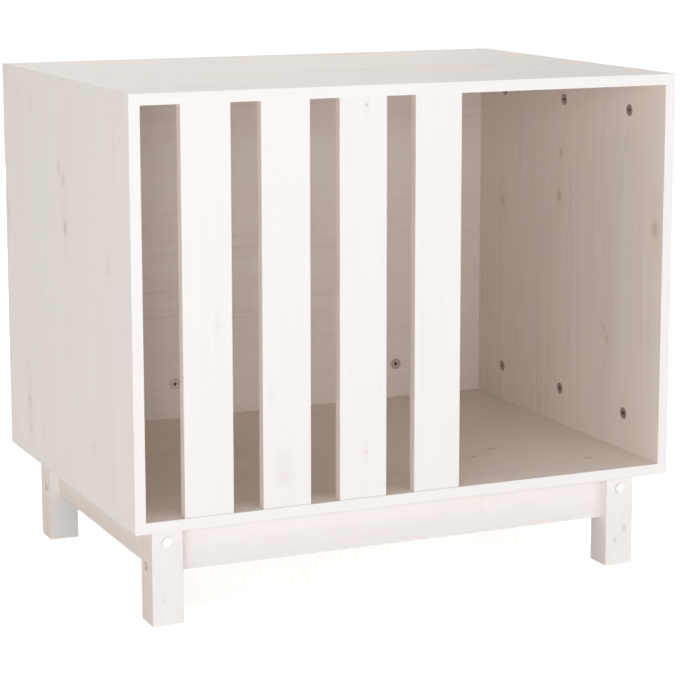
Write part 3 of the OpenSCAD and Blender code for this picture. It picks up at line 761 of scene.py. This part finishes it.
def turned(name, rows):
    """A closed solid about Z. Each row is a height in millimetres and a radius, or a function that
    gives the radius at an angle, or 0 for the pole at either end."""
    shape = bmesh.new()
    rings = []
    for height, radius in rows:
        ring = []
        for i in range(COLUMNS if radius else 1):
            angle = math.tau * i / COLUMNS
            r = radius(angle) if callable(radius) else radius
            ring.append(shape.verts.new((r * MM * math.cos(angle), r * MM * math.sin(angle), height * MM)))
        rings.append(ring)
    for lower, upper in zip(rings, rings[1:]):
        for i in range(COLUMNS):
            j = (i + 1) % COLUMNS
            low_pair = lower[i % len(lower)], lower[j % len(lower)]
            high_pair = upper[j % len(upper)], upper[i % len(upper)]
            shape.faces.new(dict.fromkeys(low_pair + high_pair))
    bmesh.ops.recalc_face_normals(shape, faces=shape.faces)
    mesh = bpy.data.meshes.new(name)
    shape.to_mesh(mesh)
    shape.free()
    mesh.shade_smooth()
    return bpy.data.objects.new(name, mesh)


def hexagon(radius):
    """Radius at an angle of a hexagon with the given radius to its corners."""
    sixth = math.pi / 3
    return lambda angle: radius * math.cos(sixth / 2) / math.cos(angle % sixth - sixth / 2)


def cross(radius):
    """Radius at an angle of a cross recess whose arms taper from its middle to the given radius."""
    quarter = math.pi / 2
    return lambda angle: radius / (1 + CROSS_WAIST * abs(math.sin(2 * (angle % quarter))))


def thread(start, end, core_r, crest_r, pitch):
    """Rows of a thread: one ridge winds round the core, and fades in and out over a pitch."""
    def winding(height):
        fade = min(1.0, (height - start) / pitch, (end - height) / pitch)

        def radius(angle):
            phase = (height / pitch - angle / math.tau) % 1.0
            return core_r + (crest_r - core_r) * fade * max(0.0, 1 - abs(4 * phase - 2))

        return radius

    count = round((end - start) / pitch * ROWS_PER_PITCH)
    heights = [start + (end - start) * i / count for i in range(count + 1)]
    return [(height, winding(height)) for height in heights]


def screw(kind, name, total):
    """A wood screw of the given length in millimetres. It starts with the face of its head."""
    socket = {"hexagon": hexagon, "cross": cross}[kind.socket](kind.socket_r)
    core_r = kind.core_d / 2
    head_r = kind.head_d / 2
    thread_end = total - kind.tip
    return turned(name, [
        (kind.socket_depth, 0),
        (kind.socket_depth, socket),
        (0, socket),
        (0, head_r - EDGE),
        (EDGE, head_r),
        (kind.head_h - EDGE, head_r),
        (kind.head_h, head_r - EDGE),
        (kind.head_h, kind.crest_d / 2),
        (kind.head_h + kind.pitch, kind.crest_d / 2),
        *thread(kind.head_h + kind.pitch + EDGE, thread_end, core_r, kind.crest_d / 2, kind.pitch),
        (total, 0),
    ])


def cam_bolt(name, total):
    """Connecting bolt of a cam fitting: ball head, neck, shank with a shoulder, and a wood thread."""
    head_r, neck_r, shank_r, crest_r, core_r = 3.25, 2.0, 3.5, 3.0, 2.3
    shank_start = 10.35
    thread_l = 9.0
    pitch = 2.2
    tip = 1.0
    shoulder = total - thread_l
    below = [math.radians(angle) for angle in range(15, 143, 16)]
    ball = [(head_r - head_r * math.cos(angle), head_r * math.sin(angle)) for angle in below]
    return turned(name, [
        (0, 0),
        *ball,
        (shank_start, neck_r),
        (shank_start, shank_r - EDGE),
        (shank_start + EDGE, shank_r),
        (shoulder, shank_r),
        (shoulder, core_r),
        *thread(shoulder + EDGE, total - tip, core_r, crest_r, pitch),
        (total, core_r - tip),
        (total, 0),
    ])


def make_fasteners(node, pattern, material):
    """Replaces the screws or bolts of a CAD node. pattern makes the mesh for one length."""
    tree = bpy.data.node_groups["Driven fasteners"]
    seed = bpy.context.scene.doghouse_fittings.seed
    by_length = {}
    for corners in solids(node):
        start, along, reach = seat(corners)
        by_length.setdefault(round(reach / MM, 2), []).append((start, along, reach))
    for total, seats in sorted(by_length.items()):
        name = node if len(by_length) == 1 else f"{node}_{total:.0f}mm"
        fastener = pattern(name + "_pattern", total)
        values = {"Fastener": fastener, "Seed": seed, "Material": material}
        grow("driven_" + name, node, seats, tree, values)
        bpy.data.objects.remove(fastener)


def make_dowels(node, material):
    """Replaces the dowels of a CAD node by fluted ones of the same size."""
    settings = bpy.context.scene.doghouse_fittings
    groups = solids(node)
    seats = [seat(corners) for corners in groups]
    spread = [[corner[i] for corner in groups[0]] for i in range(3)]
    sides = sorted(max(places) - min(places) for places in spread)
    grow("fluted_" + node, node, seats, bpy.data.node_groups["Fluted dowels"], {
        "Diameter": sides[0], "Length": sides[2], "Chamfer": settings.dowel_chamfer,
        "Flutes": settings.flutes, "Flute depth": settings.flute_depth, "Material": material,
    })


# Operators

class DOGHOUSE_OT_pine_patterns(bpy.types.Operator):
    """Makes the node groups that all pine boards share"""

    bl_idname = "doghouse.pine_patterns"
    bl_label = "Pine patterns"

    def execute(self, context):
        ring_group()
        knot_group()
        return {"FINISHED"}


class DOGHOUSE_OT_panels(bpy.types.Operator):
    """Dresses the five panels of the box in white-washed pine"""

    bl_idname = "doghouse.panels"
    bl_label = "Panels"

    def execute(self, context):
        dress_boards("panel")
        return {"FINISHED"}


class DOGHOUSE_OT_slats(bpy.types.Operator):
    """Dresses the four upright slats"""

    bl_idname = "doghouse.slats"
    bl_label = "Slats"

    def execute(self, context):
        dress_boards("slat")
        return {"FINISHED"}


class DOGHOUSE_OT_base(bpy.types.Operator):
    """Dresses the legs and rails of the base"""

    bl_idname = "doghouse.base"
    bl_label = "Legs and rails"

    def execute(self, context):
        dress_boards("leg", "rail")
        return {"FINISHED"}


class DOGHOUSE_OT_cams(bpy.types.Operator):
    """Dresses the cam discs in die-cast zinc"""

    bl_idname = "doghouse.cams"
    bl_label = "Cam discs"

    def execute(self, context):
        zinc = context.scene.doghouse_fittings.zinc
        for node, outward in CAM_FACES.items():
            face = max(corner.dot(outward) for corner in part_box(node))
            metal = plated_metal("Die-cast zinc " + node, zinc, 0.38, 0.55, (outward, face))
            dress(node, metal)
        return {"FINISHED"}


class DOGHOUSE_OT_fasteners(bpy.types.Operator):
    """Makes the threaded bolts and screws"""

    bl_idname = "doghouse.fasteners"
    bl_label = "Bolts and screws"

    def execute(self, context):
        metal = plated_metal("Zinc-plated steel", context.scene.doghouse_fittings.steel, 0.25, 0.4)
        fastener_tree()
        for node in ("left_panel_bolts", "right_panel_bolts", "back_panel_bolts"):
            make_fasteners(node, cam_bolt, metal)
        for node, kind in SCREWS.items():
            make_fasteners(node, partial(screw, kind), metal)
        return {"FINISHED"}


class DOGHOUSE_OT_dowels(bpy.types.Operator):
    """Makes the fluted wood dowels"""

    bl_idname = "doghouse.dowels"
    bl_label = "Dowels"

    def execute(self, context):
        wood = beech("Fluted beech")
        dowel_tree()
        for node in [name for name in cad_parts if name.endswith("_dowels")]:
            make_dowels(node, wood)
        return {"FINISHED"}


class DOGHOUSE_OT_caps(bpy.types.Operator):
    """Dresses the caps over the screws of the legs"""

    bl_idname = "doghouse.caps"
    bl_label = "Screw caps"

    def execute(self, context):
        for node in [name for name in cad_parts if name.endswith("_cap")]:
            outward = Vector((0, -1 if node.startswith("front") else 1, 0))
            face = max(corner.dot(outward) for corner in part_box(node.replace("_cap", "_leg")))
            dress(node, moulded_plastic("Moulded polyethylene " + node, outward, face))
        return {"FINISHED"}


# The side of a softbox and half of the side of the floor, in metres, and how much the camera sees the
# floor glow, so that it shows as white paper
SOFTBOX_SIDE = 2.0
FLOOR_REACH = 60.0
FLOOR_GLOW = 0.7
WHITE = (1, 1, 1, 1)
# Softboxes: their places in metres, their watts and their tints. Those in front stand low and
# a little cool, so that the warm wood glows inside the house and its front stays white.
SOFTBOXES = {
    "Front left softbox": ((-2.6, -3.6, 0.6), 64, "#F9FBFF"),
    "Front softbox": ((0.0, -4.2, 0.6), 32, "#F9FBFF"),
    "Front right softbox": ((2.2, -3.8, 0.6), 38, "#F9FBFF"),
    "Left softbox": ((-3.8, -1.2, 0.6), 22, "#FFFFFF"),
    "Back softbox": ((1.2, 4.2, 0.2), 80, "#FFFFFF"),
    "Right softbox": ((4.2, 1.2, 0.2), 80, "#FFFFFF"),
    "Top softbox": ((0.0, 1.3, 3.2), 13, "#FFFFFF"),
}


def softbox(name, place, power, tint):
    """A square soft lamp that looks at the middle of the house."""
    low, high = CAD_BOX
    lamp = bpy.data.lights.new(name, "AREA")
    lamp.shape = "SQUARE"
    lamp.size = SOFTBOX_SIDE
    lamp.energy = power
    lamp.color = linear(tint)[:3]
    lamp_object = bpy.data.objects.new(name, lamp)
    bpy.context.scene.collection.objects.link(lamp_object)
    lamp_object.location = place
    lamp_object.rotation_euler = ((low + high) / 2 - Vector(place)).to_track_quat("-Z", "Y").to_euler()


def seen_directly(tree):
    """1 for what the camera sees, also in a mirror or through glass, and 0 for what only gives light."""
    ray = add(tree, "ShaderNodeLightPath").node.outputs
    mirror = add(tree, MATH, {0: ray["Is Glossy Ray"], 1: ray["Is Transmission Ray"]}, operation="MAXIMUM")
    return add(tree, MATH, {0: ray["Is Camera Ray"], 1: mirror}, operation="MAXIMUM")


def studio_floor(tint):
    """Matt paper floor: it lights the house as paper does, and the camera sees it as white,
    with the soft shadow of the house left in it."""
    material, tree, shader = new_material("Studio paper")
    feed(tree, shader.inputs, {"Base Color": tint, "Roughness": 0.9, "Specular IOR Level": 0.1})
    glow = add(tree, "ShaderNodeEmission", {"Color": WHITE, "Strength": FLOOR_GLOW})
    lit = add(tree, "ShaderNodeAddShader", {0: shader.outputs[0], 1: glow})
    both = add(tree, "ShaderNodeMixShader", {0: seen_directly(tree), 1: shader.outputs[0], 2: lit})
    tree.links.new(both, tree.nodes["Material Output"].inputs["Surface"])
    return material


def white_world(walls, ceiling):
    """Light of pale studio walls and a brighter ceiling, which the camera and mirrors see as white."""
    world = bpy.data.worlds.new("Studio")
    bpy.context.scene.world = world
    world.use_nodes = True
    tree = world.node_tree
    tree.nodes.clear()
    direction = add(tree, "ShaderNodeTexCoord", output="Generated")
    height = add(tree, "ShaderNodeSeparateXYZ", {0: direction}, output="Z")
    strength = add(
        tree, MAP_RANGE,
        {"Value": height, "From Min": 0.55, "From Max": 0.85, "To Min": walls, "To Max": ceiling},
        interpolation_type="SMOOTHSTEP",
    )
    studio = add(tree, "ShaderNodeBackground", {"Color": WHITE, "Strength": strength})
    white = add(tree, "ShaderNodeBackground", {"Color": WHITE, "Strength": 1.0})
    mixed = add(tree, "ShaderNodeMixShader", {0: seen_directly(tree), 1: studio, 2: white})
    add(tree, "ShaderNodeOutputWorld", {"Surface": mixed})


class DOGHOUSE_OT_stage(bpy.types.Operator):
    """Sets the camera, the pale floor and the soft lamps"""

    bl_idname = "doghouse.stage"
    bl_label = "Stage"

    def execute(self, context):
        scene = context.scene
        settings = scene.doghouse_stage
        camera = bpy.data.cameras.new("Camera")
        camera.lens = settings.lens
        camera.sensor_width = 36
        camera.shift_x = settings.shift_x
        camera.shift_y = settings.shift_y
        camera.clip_end = 200
        camera_object = bpy.data.objects.new("Camera", camera)
        scene.collection.objects.link(camera_object)
        camera_object.location = settings.camera_place
        camera_object.rotation_euler = Euler((math.pi / 2 - settings.tilt, 0, -settings.heading))
        scene.camera = camera_object

        mesh = bpy.data.meshes.new("studio_floor")
        shape = bmesh.new()
        bmesh.ops.create_grid(shape, x_segments=1, y_segments=1, size=FLOOR_REACH)
        shape.to_mesh(mesh)
        shape.free()
        floor = bpy.data.objects.new("studio_floor", mesh)
        scene.collection.objects.link(floor)
        mesh.materials.append(studio_floor(settings.floor))

        for name, (place, power, tint) in SOFTBOXES.items():
            softbox(name, place, power * settings.lamps, tint)
        white_world(settings.walls, settings.ceiling)
        scene.view_settings.view_transform = "Standard"
        return {"FINISHED"}


class DOGHOUSE_PT_parts(bpy.types.Panel):
    """Lists the steps that dress the dog house"""

    bl_idname = "DOGHOUSE_PT_parts"
    bl_label = "Dog house"
    bl_space_type = "VIEW_3D"
    bl_region_type = "UI"
    bl_category = "Dog house"

    def draw(self, context):
        for step in STEPS:
            self.layout.operator(step.bl_idname)


STEPS = (
    DOGHOUSE_OT_stage,
    DOGHOUSE_OT_pine_patterns,
    DOGHOUSE_OT_panels,
    DOGHOUSE_OT_slats,
    DOGHOUSE_OT_base,
    DOGHOUSE_OT_cams,
    DOGHOUSE_OT_fasteners,
    DOGHOUSE_OT_dowels,
    DOGHOUSE_OT_caps,
)
SETTINGS = {
    "doghouse_pine": PineSettings,
    "doghouse_fittings": FittingSettings,
    "doghouse_stage": StageSettings,
}


def register():
    for name, group in SETTINGS.items():
        bpy.utils.register_class(group)
        setattr(bpy.types.Scene, name, PointerProperty(type=group))
    for step in STEPS:
        bpy.utils.register_class(step)
    bpy.utils.register_class(DOGHOUSE_PT_parts)


def unregister():
    bpy.utils.unregister_class(DOGHOUSE_PT_parts)
    for step in reversed(STEPS):
        bpy.utils.unregister_class(step)
    for name, group in SETTINGS.items():
        delattr(bpy.types.Scene, name)
        bpy.utils.unregister_class(group)


def main():
    """Dresses the whole house."""
    register()
    for step in STEPS:
        area, name = step.bl_idname.split(".")
        getattr(getattr(bpy.ops, area), name)()


if __name__ == "__main__":
    main()
